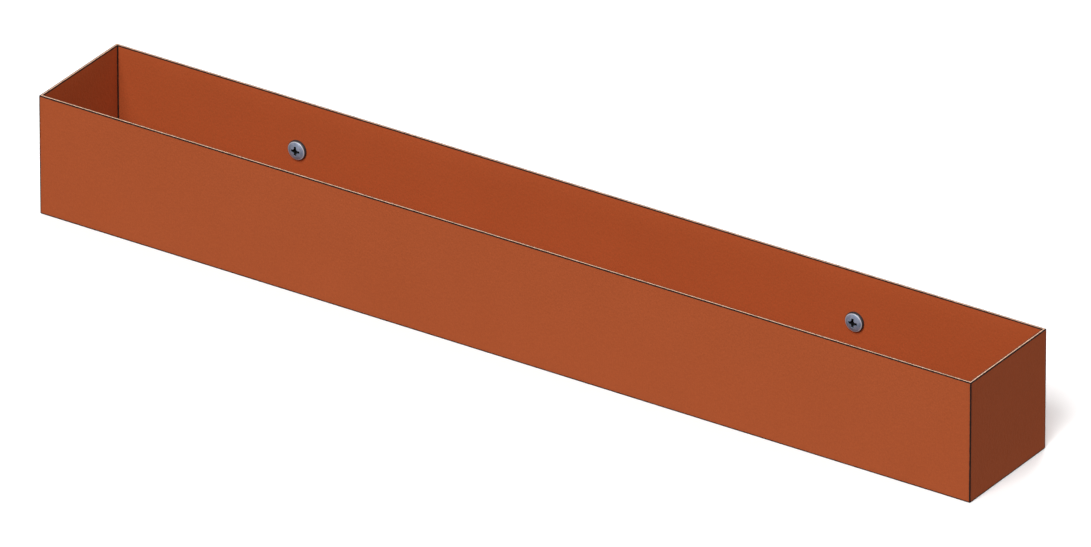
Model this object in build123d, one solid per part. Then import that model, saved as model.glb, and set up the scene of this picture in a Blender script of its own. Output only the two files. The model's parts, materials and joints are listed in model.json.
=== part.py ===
from build123d import *

import math
import os

# A long, narrow, open-topped feed trough that is screwed to a wall, a rail or a pen side.
#
# Five flat steel plates stand edge to edge in open corner joints. A weld bead fills each
# corner and is ground flush, so the trough is a plain box with square corners inside and
# out. Two cross-recess wood screws pass through the back plate from inside the trough.
#
# Millimetres. The origin is at the centre of the underside. +X runs along the trough to
# the right as seen from the front, +Y points to the back plate and the wall behind it,
# and +Z is up.

# Driving dimensions of the trough, outside sizes
LENGTH = 500.0
DEPTH = 62.0
HEIGHT = 60.0
SHEET = 1.5
EDGE_RADIUS = 0.25

# Where the screws sit in the back plate
SCREW_FROM_END = 100.0
SCREW_BELOW_RIM = 25.0
HOLE_CLEARANCE = 0.3

# Screw, 5 x 30 with a low domed head; lengths are measured from the head's underside
SCREW_LENGTH = 30.0
NECK_RADIUS = 2.75
NECK_LENGTH = 2.0
SHANK_RADIUS = 2.5
SHANK_LENGTH = 12.0
CORE_RADIUS = 1.65
CREST_RADIUS = 2.45
THREAD_PITCH = 2.5
THREAD_TURNS = 5
TIP_RADIUS = 0.2
TIP_TURNS = 1.7

# Thread ridge in section: its root is sunk in the core, and its crest is almost sharp
RIDGE_ROOT_DEPTH = 0.2
RIDGE_ROOT_HALF_WIDTH = 0.7
RIDGE_CREST_HALF_WIDTH = 0.08

# Screw head: an upright rim, a rounded shoulder and a shallow dome
HEAD_RADIUS = 4.85
HEAD_HEIGHT = 2.45
RIM_HEIGHT = 0.5
DOME_RADIUS = 4.5
DOME_BASE_HEIGHT = 1.3

# Cross recess: two tapered slots, given as length and width, and the socket where they meet
RECESS_DEPTH = 2.3
RECESS_OVERRUN = 0.1
SLOT_MOUTH = (5.2, 1.35)
SLOT_FLOOR = (2.0, 0.8)
SOCKET_MOUTH_RADIUS = 1.4
SOCKET_FLOOR_RADIUS = 0.6

INSIDE_LENGTH = LENGTH - 2 * SHEET
INSIDE_DEPTH = DEPTH - 2 * SHEET
SCREW_X = LENGTH / 2 - SCREW_FROM_END
SCREW_Z = HEIGHT - SCREW_BELOW_RIM
THREAD_LENGTH = THREAD_PITCH * THREAD_TURNS
TIP_LENGTH = SCREW_LENGTH - SHANK_LENGTH - THREAD_LENGTH

# A side or corner piece is drawn on the +Y side and turned about Z to where it belongs
SIDE_TURNS = {"back": 0, "left": 90, "front": 180, "right": 270}
CORNER_TURNS = {"back_right": 0, "back_left": 90, "front_left": 180, "front_right": 270}

CORNER_AT_ORIGIN = (Align.MIN, Align.MIN, Align.MIN)
INNER_FACE_AT_ORIGIN = (Align.CENTER, Align.MIN, Align.MIN)
BASE_AT_ORIGIN = (Align.CENTER, Align.CENTER, Align.MIN)


def side_size(side):
    """A side's length between the corner welds, and its inner face's distance from the middle."""
    if side in ("front", "back"):
        return INSIDE_LENGTH, INSIDE_DEPTH / 2
    return INSIDE_DEPTH, INSIDE_LENGTH / 2


def floor_plate():
    return Box(INSIDE_LENGTH, INSIDE_DEPTH, SHEET, align=BASE_AT_ORIGIN)


def wall_plate(side):
    """An upright plate that starts level with the floor plate's top, its rim deburred."""
    length, offset = side_size(side)
    plate = Box(length, SHEET, HEIGHT - SHEET, align=INNER_FACE_AT_ORIGIN)
    rim_edges = plate.edges().filter_by(Axis.X).group_by(Axis.Z)[-1]
    plate = fillet(rim_edges, EDGE_RADIUS)
    return Rot(0, 0, SIDE_TURNS[side]) * Pos(0, offset, SHEET) * plate


def back_plate():
    """The upright plate on the +Y side, with a clearance hole for each screw."""
    plate = wall_plate("back")
    drill = Rot(90, 0, 0) * Cylinder(NECK_RADIUS + HOLE_CLEARANCE, 4 * SHEET)
    for x in (-SCREW_X, SCREW_X):
        plate -= Pos(x, DEPTH / 2, SCREW_Z) * drill
    return plate


def base_weld(side):
    """Weld along the bottom of one side, in the notch between the floor and the wall."""
    length, offset = side_size(side)
    bead = Box(length, SHEET, SHEET, align=INNER_FACE_AT_ORIGIN)
    outer_edge = bead.edges().filter_by(Axis.X).group_by(Axis.Y)[-1].sort_by(Axis.Z)[0]
    bead = fillet(outer_edge, EDGE_RADIUS)
    return Rot(0, 0, SIDE_TURNS[side]) * Pos(0, offset, 0) * bead


def on_outside(edge):
    """Whether an edge of an unturned corner weld is clear of both plates that it joins."""
    return min(edge.center().X, edge.center().Y) > SHEET / 4


def corner_weld(corner):
    """Weld up one corner over the full height, with every edge on its outside rounded."""
    bead = Box(SHEET, SHEET, HEIGHT, align=CORNER_AT_ORIGIN)
    bead = fillet(bead.edges().filter_by(on_outside), EDGE_RADIUS)
    x = INSIDE_LENGTH / 2 if "right" in corner else -INSIDE_LENGTH / 2
    y = INSIDE_DEPTH / 2 if "back" in corner else -INSIDE_DEPTH / 2
    return Pos(x, y, 0) * Rot(0, 0, CORNER_TURNS[corner]) * bead


def thread_ridge(path):
    """A ridge swept along a helix that starts on the core's surface, on its +X side."""
    root = CORE_RADIUS - RIDGE_ROOT_DEPTH
    outline = Polyline(
        (root, -RIDGE_ROOT_HALF_WIDTH),
        (CREST_RADIUS, -RIDGE_CREST_HALF_WIDTH),
        (CREST_RADIUS, RIDGE_CREST_HALF_WIDTH),
        (root, RIDGE_ROOT_HALF_WIDTH),
        close=True,
    )
    return sweep(Plane.XZ * make_face(outline), path=path, is_frenet=True)


def screw_shank():
    """Tapered neck, plain shank, threaded core and tapered point, from the head's underside up +Z."""
    thread_start = Pos(0, 0, SHANK_LENGTH)
    tip_start = Pos(0, 0, SHANK_LENGTH + THREAD_LENGTH)
    tip_slope = math.degrees(math.atan2(CORE_RADIUS - TIP_RADIUS, TIP_LENGTH))
    thread_path = Helix(THREAD_PITCH, THREAD_LENGTH, CORE_RADIUS)
    tip_path = Helix(THREAD_PITCH, TIP_TURNS * THREAD_PITCH, CORE_RADIUS, cone_angle=-tip_slope)

    shank = Cylinder(SHANK_RADIUS, SHANK_LENGTH, align=BASE_AT_ORIGIN)
    shank += Cone(NECK_RADIUS, SHANK_RADIUS, NECK_LENGTH, align=BASE_AT_ORIGIN)
    shank += thread_start * Cylinder(CORE_RADIUS, THREAD_LENGTH, align=BASE_AT_ORIGIN)
    shank += tip_start * Cone(CORE_RADIUS, TIP_RADIUS, TIP_LENGTH, align=BASE_AT_ORIGIN)
    shank += thread_start * thread_ridge(thread_path)
    shank += tip_start * thread_ridge(tip_path)
    return shank


def screw_head():
    """Low domed head below the origin plane, turned about Z."""
    rim = Line((HEAD_RADIUS, 0), (HEAD_RADIUS, -RIM_HEIGHT))
    shoulder = TangentArc(rim @ 1, (DOME_RADIUS, -DOME_BASE_HEIGHT), tangent=(0, -1))
    dome = TangentArc((0, -HEAD_HEIGHT), shoulder @ 1, tangent=(1, 0))
    close_up = Polyline((0, -HEAD_HEIGHT), (0, 0), (HEAD_RADIUS, 0))
    section = make_face([rim, shoulder, dome, close_up])
    return revolve(Plane.XZ * section, Axis.Z)


def cross_recess():
    """The recess's hollow: its mouth is just proud of the head's top and it narrows inwards."""
    mouth = Pos(0, 0, -HEAD_HEIGHT - RECESS_OVERRUN)
    depth = RECESS_DEPTH + RECESS_OVERRUN
    slot = loft([mouth * Rectangle(*SLOT_MOUTH), mouth * Pos(0, 0, depth) * Rectangle(*SLOT_FLOOR)])
    socket = mouth * Cone(SOCKET_MOUTH_RADIUS, SOCKET_FLOOR_RADIUS, depth, align=BASE_AT_ORIGIN)
    return slot + Rot(0, 0, 90) * slot + socket


def screw(x):
    """A screw at x, its head on the inside of the back plate and its point towards the wall."""
    body = screw_shank() + screw_head() - cross_recess()
    return Pos(x, INSIDE_DEPTH / 2, SCREW_Z) * Rot(-90, 0, 0) * body


def all_pieces():
    pieces = {"floor_plate": floor_plate(), "back_plate": back_plate()}
    pieces["front_plate"] = wall_plate("front")
    for side in ("left", "right"):
        pieces[f"{side}_end_plate"] = wall_plate(side)
    for side in SIDE_TURNS:
        pieces[f"base_weld_{side}"] = base_weld(side)
    for corner in CORNER_TURNS:
        pieces[f"corner_weld_{corner}"] = corner_weld(corner)
    pieces["screw_left"] = screw(-SCREW_X)
    pieces["screw_right"] = screw(SCREW_X)
    return pieces


os.makedirs("parts", exist_ok=True)
for name, piece in all_pieces().items():
    export_step(piece, f"parts/{name}.step")
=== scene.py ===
import json
import math

import bpy
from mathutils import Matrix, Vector


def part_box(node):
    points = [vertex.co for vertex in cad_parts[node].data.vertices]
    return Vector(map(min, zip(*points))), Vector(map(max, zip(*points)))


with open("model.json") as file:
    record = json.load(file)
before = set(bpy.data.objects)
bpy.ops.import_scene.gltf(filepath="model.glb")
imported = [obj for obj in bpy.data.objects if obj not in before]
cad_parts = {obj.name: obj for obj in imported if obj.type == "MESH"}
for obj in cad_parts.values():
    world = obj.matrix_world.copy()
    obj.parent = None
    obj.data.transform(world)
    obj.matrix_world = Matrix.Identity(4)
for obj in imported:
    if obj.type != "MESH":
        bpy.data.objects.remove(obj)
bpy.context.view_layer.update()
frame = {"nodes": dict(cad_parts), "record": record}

MM = 0.001

# Camera: a long lens from far off, so the view is all but parallel
AZIMUTH = math.radians(33.6)
ELEVATION = math.radians(27.75)
LENS = 800.0
SENSOR = 36.0
VIEW_WIDTH = 0.4886
AIM_RIGHT = 0.0033
AIM_UP = -0.0014

# Light: three broad lamps, each a direction to it and its strength, and a dim sky whose
# band round the horizon is as white as the lit floor
LAMPS = {
    "key": ((0.08, -0.68, 0.72), 3.72),
    "side_fill": ((0.75, -0.10, 0.65), 0.66),
    "back_fill": ((-0.45, 0.75, 0.48), 2.8),
}
LAMP_SOFTNESS = math.radians(35.0)
SKY_BAND = 0.07
SKY_BAND_END = 0.2
SKY_BAND_STRENGTH = 1.0
SKY_STRENGTH = 0.09

# Studio floor
FLOOR_HALF_SIDE = 40.0
FLOOR_DROP = 0.1 * MM
FLOOR_COLOUR = (0.93, 0.93, 0.93)
FLOOR_ROUGHNESS = 0.9

# Colours, linear
TERRACOTTA = (0.362, 0.074, 0.021)
TERRACOTTA_OVER_WELD = (0.348, 0.071, 0.020)
# Painted highlight: the rim's top face is drawn paler, as where light falls on it
RIM_PAINTED_HIGHLIGHT = (0.58, 0.29, 0.14)
# Worn paint on the outer arrises, also used for the darker line along the inner corners and inner
# floor edges
DARK_EDGE_COLOUR = (0.012, 0.005, 0.004)
ZINC = (0.38, 0.50, 0.66)
ZINC_DULL = (0.22, 0.31, 0.44)
# Painted highlight on the screw head's shoulder
ZINC_PAINTED_HIGHLIGHT = (0.68, 0.76, 0.86)
# Painted shade round the screw head's rim and in its recess
SCREW_PAINTED_SHADE = (0.015, 0.015, 0.017)

# Noise runs from 0 to 1 but stays near its middle, so it is stretched between these
NOISE_LOW = 0.3
NOISE_HIGH = 0.7

# Dark edges, worn paint on the outer arrises and the rim's edges and darker along the inner corners
# and inner floor edges: its reach from an edge, its soft margin, how far and how finely its border
# wanders, and how much tighter it is down from the rim and in from the rim's inner edge
DARK_EDGE_REACH = 0.46 * MM
DARK_EDGE_FADE = 0.20 * MM
DARK_EDGE_RAGGED = 0.35 * MM
DARK_EDGE_RAGGED_SIZE = 1.6 * MM
TIGHTER_BELOW_RIM = 1.2
TIGHTER_INSIDE_RIM = 1.1

# Painted highlight on the rim's top face, paler than the paint: full down to the first depth below
# the rim, and gone at the second
RIM_HIGHLIGHT_FULL = 0.1 * MM
RIM_HIGHLIGHT_GONE = 0.25 * MM
RIM_HIGHLIGHT_COVER = 0.9

# Paint: the size of its clouds and speckles and how much they lighten or darken it, its
# sheen, and the orange peel and long waves in its surface
CLOUD_SIZE = 45 * MM
CLOUD_CONTRAST = 0.03
SPECKLE_SIZE = 0.8 * MM
SPECKLE_CONTRAST = 0.10
SATIN_ROUGHNESS = 0.38
SATIN_PATCH_SIZE = 20 * MM
SATIN_PATCH_CHANGE = 0.16
SATIN_GRAIN_SIZE = 0.6 * MM
SATIN_GRAIN_CHANGE = 0.10
DARK_EDGE_ROUGHER = 0.4
PAINT_SPECULAR = 0.25
PLATE_PEEL_SIZE = 1.3 * MM
WELD_PEEL_SIZE = 0.45 * MM
PEEL_HEIGHT = 0.12 * MM
PEEL_STRENGTH = 0.8
WAVE_SIZE = 60 * MM
WAVE_HEIGHT = 0.25 * MM
WAVE_STRENGTH = 0.5

# The screw's head: its height above the back plate, its dome's radius of curvature, the
# radius where the painted highlight on its shoulder starts and where the painted shade on its rim
# starts, and the half width of its recess
HEAD_HEIGHT = 2.45 * MM
DOME_CURVE = 9.38 * MM
SHOULDER = 4.1 * MM
HEAD_RIM = 4.4 * MM
RECESS_REACH = 2.7 * MM

# Zinc: the margin at which one tone gives way to another, the depths below the dome where
# the painted shade in the recess starts and is full, that shade's cover on the rim, and the plating's
# clouds, sheen and grain
MARGIN = 0.1 * MM
RIM_MARGIN = 0.15 * MM
SHADE_STARTS = 0.05 * MM
SHADE_FULL = 0.3 * MM
RIM_SHADE_COVER = 0.95
ZINC_CLOUD_SIZE = 2.5 * MM
ZINC_METALLIC = 0.55
ZINC_ROUGHNESS = 0.28
ZINC_ROUGHNESS_CHANGE = 0.2
ZINC_PATCH_SIZE = 0.7 * MM
ZINC_GRAIN_SIZE = 0.3 * MM
ZINC_GRAIN_HEIGHT = 0.01 * MM
ZINC_GRAIN_STRENGTH = 0.4


def rgba(colour, scale=1.0):
    return tuple(channel * scale for channel in colour) + (1.0,)


def darker_and_lighter(colour, contrast):
    return rgba(colour, 1.0 - contrast), rgba(colour, 1.0 + contrast)


class Graph:
    """A material's node tree, built one operation at a time."""

    def __init__(self, name):
        self.material = bpy.data.materials.new(name)
        self.material.use_nodes = True
        self.tree = self.material.node_tree
        self.shader = self.tree.nodes["Principled BSDF"]
        self.place = self.tree.nodes.new("ShaderNodeTexCoord").outputs["Object"]

    def put(self, socket, value):
        if isinstance(value, bpy.types.NodeSocket):
            self.tree.links.new(value, socket)
        else:
            socket.default_value = value

    def math(self, operation, *values):
        node = self.tree.nodes.new("ShaderNodeMath")
        node.operation = operation
        for socket, value in zip(node.inputs, values):
            self.put(socket, value)
        return node.outputs[0]

    def smallest(self, *values):
        result = values[0]
        for value in values[1:]:
            result = self.math("MINIMUM", result, value)
        return result

    def step(self, value, low, high):
        """0 at low, 1 at high, and smooth between them; low may be the larger."""
        node = self.tree.nodes.new("ShaderNodeMapRange")
        node.interpolation_type = "SMOOTHSTEP"
        for name, number in (("Value", value), ("From Min", low), ("From Max", high)):
            self.put(node.inputs[name], number)
        return node.outputs["Result"]

    def split(self, vector):
        node = self.tree.nodes.new("ShaderNodeSeparateXYZ")
        self.put(node.inputs[0], vector)
        return node.outputs

    def stretched(self, value):
        """Noise spread over the whole of 0 to 1."""
        return self.step(value, NOISE_LOW, NOISE_HIGH)

    def noise(self, size, detail=3.0, roughness=0.55):
        """Smooth noise from 0 to 1, whose largest blobs are about size metres across."""
        node = self.tree.nodes.new("ShaderNodeTexNoise")
        self.put(node.inputs["Vector"], self.place)
        node.inputs["Scale"].default_value = 1.0 / size
        node.inputs["Detail"].default_value = detail
        node.inputs["Roughness"].default_value = roughness
        return node.outputs[0]

    def mix(self, factor, first, second):
        node = self.tree.nodes.new("ShaderNodeMix")
        node.data_type = "RGBA"
        self.put(node.inputs[0], factor)
        self.put(node.inputs[6], first)
        self.put(node.inputs[7], second)
        return node.outputs[2]

    def bump(self, height, distance, strength, under=None):
        node = self.tree.nodes.new("ShaderNodeBump")
        node.inputs["Strength"].default_value = strength
        node.inputs["Distance"].default_value = distance
        self.put(node.inputs["Height"], height)
        if under is not None:
            self.put(node.inputs["Normal"], under)
        return node.outputs[0]


def trough_box():
    """The trough's lowest and highest corners, without the screws."""
    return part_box("corner_weld_front_left")[0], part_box("corner_weld_back_right")[1]


def edge_distance(g):
    """Distance to the trough's nearest edge or inner corner, longer where the dark edge band is
    tighter, and to its rim's level.
    """
    outside, inside = trough_box()[1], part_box("floor_plate")[1]
    x, y, z = g.split(g.place)
    across, deep = g.math("ABSOLUTE", x), g.math("ABSOLUTE", y)

    to_rim = g.math("ABSOLUTE", g.math("SUBTRACT", outside.z, z))
    below_rim = g.math("MULTIPLY", to_rim, TIGHTER_BELOW_RIM)
    out_x = g.math("ABSOLUTE", g.math("SUBTRACT", outside.x, across))
    out_y = g.math("ABSOLUTE", g.math("SUBTRACT", outside.y, deep))
    out_z = g.math("MINIMUM", g.math("ABSOLUTE", z), below_rim)
    level_or_upright = g.math("MINIMUM", g.math("MAXIMUM", out_x, out_y), out_z)
    outside_edges = g.math("MAXIMUM", g.math("MINIMUM", out_x, out_y), level_or_upright)

    past_x = g.math("SUBTRACT", across, inside.x)
    past_y = g.math("SUBTRACT", deep, inside.y)
    beyond_x = g.math("POWER", g.math("MAXIMUM", past_x, 0.0), 2.0)
    beyond_y = g.math("POWER", g.math("MAXIMUM", past_y, 0.0), 2.0)
    beyond = g.math("SQRT", g.math("ADD", beyond_x, beyond_y))
    within = g.math("MINIMUM", g.math("MAXIMUM", past_x, past_y), 0.0)
    to_inner_wall = g.math("ABSOLUTE", g.math("ADD", beyond, within))
    in_from_rim = g.math("MULTIPLY", to_inner_wall, TIGHTER_INSIDE_RIM)
    inner_rim = g.math("MAXIMUM", in_from_rim, below_rim)
    to_floor = g.math("ABSOLUTE", g.math("SUBTRACT", z, inside.z))
    inner_base = g.math("MAXIMUM", to_inner_wall, to_floor)
    to_upright = g.math("MAXIMUM", g.math("ABSOLUTE", past_x), g.math("ABSOLUTE", past_y))
    inner_uprights = g.math("MULTIPLY", to_upright, TIGHTER_INSIDE_RIM)
    return g.smallest(outside_edges, inner_rim, inner_base, inner_uprights), to_rim


def paint(name, colour, peel_size):
    """Satin stoving paint: speckled, faintly rippled, with a painted highlight on the rim's top, worn
    dark at the outer edges and darker along the inner corners.
    """
    g = Graph(name)
    edge, to_rim = edge_distance(g)
    offset = g.math("SUBTRACT", g.noise(DARK_EDGE_RAGGED_SIZE), 0.5)
    ragged = g.math("MULTIPLY_ADD", offset, DARK_EDGE_RAGGED, edge)
    # Dark band: worn paint along the outer arrises and rim edges, and darker along the inner corners
    # and inner floor edges
    dark_edges = g.step(ragged, DARK_EDGE_REACH + DARK_EDGE_FADE, DARK_EDGE_REACH)
    # Painted highlight: paler paint on the rim's top face
    rim_highlight = g.step(to_rim, RIM_HIGHLIGHT_GONE, RIM_HIGHLIGHT_FULL)

    cloud = g.stretched(g.noise(CLOUD_SIZE, 4.0, 0.6))
    speckle = g.stretched(g.noise(SPECKLE_SIZE, 3.0, 0.7))
    clouded = g.mix(cloud, *darker_and_lighter(colour, CLOUD_CONTRAST))
    speckled = g.mix(speckle, *darker_and_lighter(colour, SPECKLE_CONTRAST))
    coat = g.mix(0.5, clouded, speckled)
    coat = g.mix(g.math("MULTIPLY", rim_highlight, RIM_HIGHLIGHT_COVER), coat, rgba(RIM_PAINTED_HIGHLIGHT))
    g.put(g.shader.inputs["Base Color"], g.mix(dark_edges, coat, rgba(DARK_EDGE_COLOUR)))

    patches = g.noise(SATIN_PATCH_SIZE)
    satin = g.math("MULTIPLY_ADD", patches, SATIN_PATCH_CHANGE, SATIN_ROUGHNESS)
    grain = g.noise(SATIN_GRAIN_SIZE, 2.0)
    grainy = g.math("MULTIPLY_ADD", grain, SATIN_GRAIN_CHANGE, satin)
    g.put(g.shader.inputs["Roughness"], g.math("MULTIPLY_ADD", dark_edges, DARK_EDGE_ROUGHER, grainy))
    g.shader.inputs["Specular IOR Level"].default_value = PAINT_SPECULAR
    peel = g.bump(g.noise(peel_size, 2.0, 0.5), PEEL_HEIGHT, PEEL_STRENGTH)
    waves = g.bump(g.noise(WAVE_SIZE, 1.0, 0.5), WAVE_HEIGHT, WAVE_STRENGTH, peel)
    g.put(g.shader.inputs["Normal"], waves)
    return g.material


def painted_steel():
    """Paint on rolled plate, with the broad orange peel of a sprayed coat."""
    return paint("painted_steel", TERRACOTTA, PLATE_PEEL_SIZE)


def painted_weld():
    """Paint on a ground weld, a little darker and with the finer grain of the grinding under it."""
    return paint("painted_weld", TERRACOTTA_OVER_WELD, WELD_PEEL_SIZE)


def zinc_plate():
    """Zinc on a screw: bluish silver, with a painted highlight on its shoulder and painted shade
    round its rim and in the recess.
    """
    g = Graph("zinc_plated_steel")
    low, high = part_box("screw_right")
    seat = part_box("back_plate")[0].y
    x, y, z = g.split(g.place)
    off_x = g.math("SUBTRACT", g.math("ABSOLUTE", x), (low.x + high.x) / 2)
    off_z = g.math("SUBTRACT", z, (low.z + high.z) / 2)
    squared = g.math("ADD", g.math("POWER", off_x, 2.0), g.math("POWER", off_z, 2.0))
    radius = g.math("SQRT", squared)
    dome = g.math("MULTIPLY_ADD", squared, 0.5 / DOME_CURVE, seat - HEAD_HEIGHT)
    # Painted shade in the recess, where it lies deeper than the dome
    depth = g.step(g.math("SUBTRACT", y, dome), SHADE_STARTS, SHADE_FULL)
    in_head = g.step(y, seat, seat - MARGIN)
    near_axis = g.math("MULTIPLY", g.step(radius, RECESS_REACH + MARGIN, RECESS_REACH), in_head)
    in_recess = g.math("MULTIPLY", depth, near_axis)
    # Painted shade on the side of the head's rim
    on_side = g.step(radius, HEAD_RIM - MARGIN, HEAD_RIM + RIM_MARGIN)
    head_painted_shade = g.math("MAXIMUM", in_recess, g.math("MULTIPLY", on_side, RIM_SHADE_COVER))

    cloud = g.stretched(g.noise(ZINC_CLOUD_SIZE, 4.0, 0.6))
    metal = g.mix(cloud, rgba(ZINC_DULL), rgba(ZINC))
    # Painted highlight: a bright ring on the head's shoulder
    shoulder_highlight = g.step(radius, SHOULDER - MARGIN, SHOULDER + MARGIN)
    metal = g.mix(shoulder_highlight, metal, rgba(ZINC_PAINTED_HIGHLIGHT))
    g.put(g.shader.inputs["Base Color"], g.mix(head_painted_shade, metal, rgba(SCREW_PAINTED_SHADE)))
    g.shader.inputs["Metallic"].default_value = ZINC_METALLIC
    patches = g.noise(ZINC_PATCH_SIZE)
    rough = g.math("MULTIPLY_ADD", patches, ZINC_ROUGHNESS_CHANGE, ZINC_ROUGHNESS)
    g.put(g.shader.inputs["Roughness"], rough)
    grain = g.bump(g.noise(ZINC_GRAIN_SIZE), ZINC_GRAIN_HEIGHT, ZINC_GRAIN_STRENGTH)
    g.put(g.shader.inputs["Normal"], grain)
    return g.material


def dress_frame():
    """Gives every CAD node the finish that the record names for it."""
    finishes = {
        "painted_steel": painted_steel(),
        "painted_weld": painted_weld(),
        "zinc_plated_steel": zinc_plate(),
    }
    slots = {part["node"]: part["material_slot"] for part in frame["record"]["subparts"]}
    for name, node in frame["nodes"].items():
        node.data.materials.clear()
        node.data.materials.append(finishes[slots[name]])


def pale_floor():
    """A matt floor, just under the trough, that lights neither its paint nor its zinc."""
    side = FLOOR_HALF_SIDE
    corners = [(-side, -side, 0), (side, -side, 0), (side, side, 0), (-side, side, 0)]
    mesh = bpy.data.meshes.new("studio_floor")
    mesh.from_pydata(corners, [], [(0, 1, 2, 3)])
    floor = bpy.data.objects.new("studio_floor", mesh)
    floor.location.z = -FLOOR_DROP
    bpy.context.scene.collection.objects.link(floor)
    g = Graph("studio_floor")
    g.shader.inputs["Base Color"].default_value = rgba(FLOOR_COLOUR)
    g.shader.inputs["Roughness"].default_value = FLOOR_ROUGHNESS
    g.shader.inputs["Specular IOR Level"].default_value = 0.0
    mesh.materials.append(g.material)
    floor.visible_diffuse = False
    floor.visible_glossy = False


def sky():
    world = bpy.data.worlds.new("studio")
    bpy.context.scene.world = world
    world.use_nodes = True
    tree = world.node_tree
    background = tree.nodes["Background"]
    background.inputs["Color"].default_value = (1.0, 1.0, 1.0, 1.0)
    direction = tree.nodes.new("ShaderNodeTexCoord").outputs["Generated"]
    split = tree.nodes.new("ShaderNodeSeparateXYZ")
    height = tree.nodes.new("ShaderNodeMath")
    height.operation = "ABSOLUTE"
    fade = tree.nodes.new("ShaderNodeMapRange")
    fade.interpolation_type = "SMOOTHSTEP"
    fade.inputs["From Min"].default_value = SKY_BAND
    fade.inputs["From Max"].default_value = SKY_BAND_END
    fade.inputs["To Min"].default_value = SKY_BAND_STRENGTH
    fade.inputs["To Max"].default_value = SKY_STRENGTH
    tree.links.new(direction, split.inputs[0])
    tree.links.new(split.outputs["Z"], height.inputs[0])
    tree.links.new(height.outputs[0], fade.inputs["Value"])
    tree.links.new(fade.outputs["Result"], background.inputs["Strength"])


def lamps():
    for name, (direction, strength) in LAMPS.items():
        lamp = bpy.data.lights.new(name, "SUN")
        lamp.energy = strength
        lamp.angle = LAMP_SOFTNESS
        holder = bpy.data.objects.new(name, lamp)
        holder.rotation_mode = "QUATERNION"
        holder.rotation_quaternion = Vector(direction).to_track_quat("Z", "Y")
        bpy.context.scene.collection.objects.link(holder)


def camera():
    low, high = trough_box()
    right = Vector((math.cos(AZIMUTH), math.sin(AZIMUTH), 0))
    back = Vector((
        math.sin(AZIMUTH) * math.cos(ELEVATION),
        -math.cos(AZIMUTH) * math.cos(ELEVATION),
        math.sin(ELEVATION),
    ))
    aim = (low + high) / 2 + right * AIM_RIGHT + back.cross(right) * AIM_UP
    distance = VIEW_WIDTH * LENS / SENSOR
    data = bpy.data.cameras.new("camera")
    data.lens = LENS
    data.sensor_width = SENSOR
    data.clip_end = 3 * distance
    eye = bpy.data.objects.new("camera", data)
    eye.location = aim + back * distance
    eye.rotation_mode = "QUATERNION"
    eye.rotation_quaternion = (-back).to_track_quat("-Z", "Y")
    bpy.context.scene.collection.objects.link(eye)
    bpy.context.scene.camera = eye


camera()
sky()
lamps()
pale_floor()
dress_frame()
bpy.context.scene.view_settings.view_transform = "Standard"
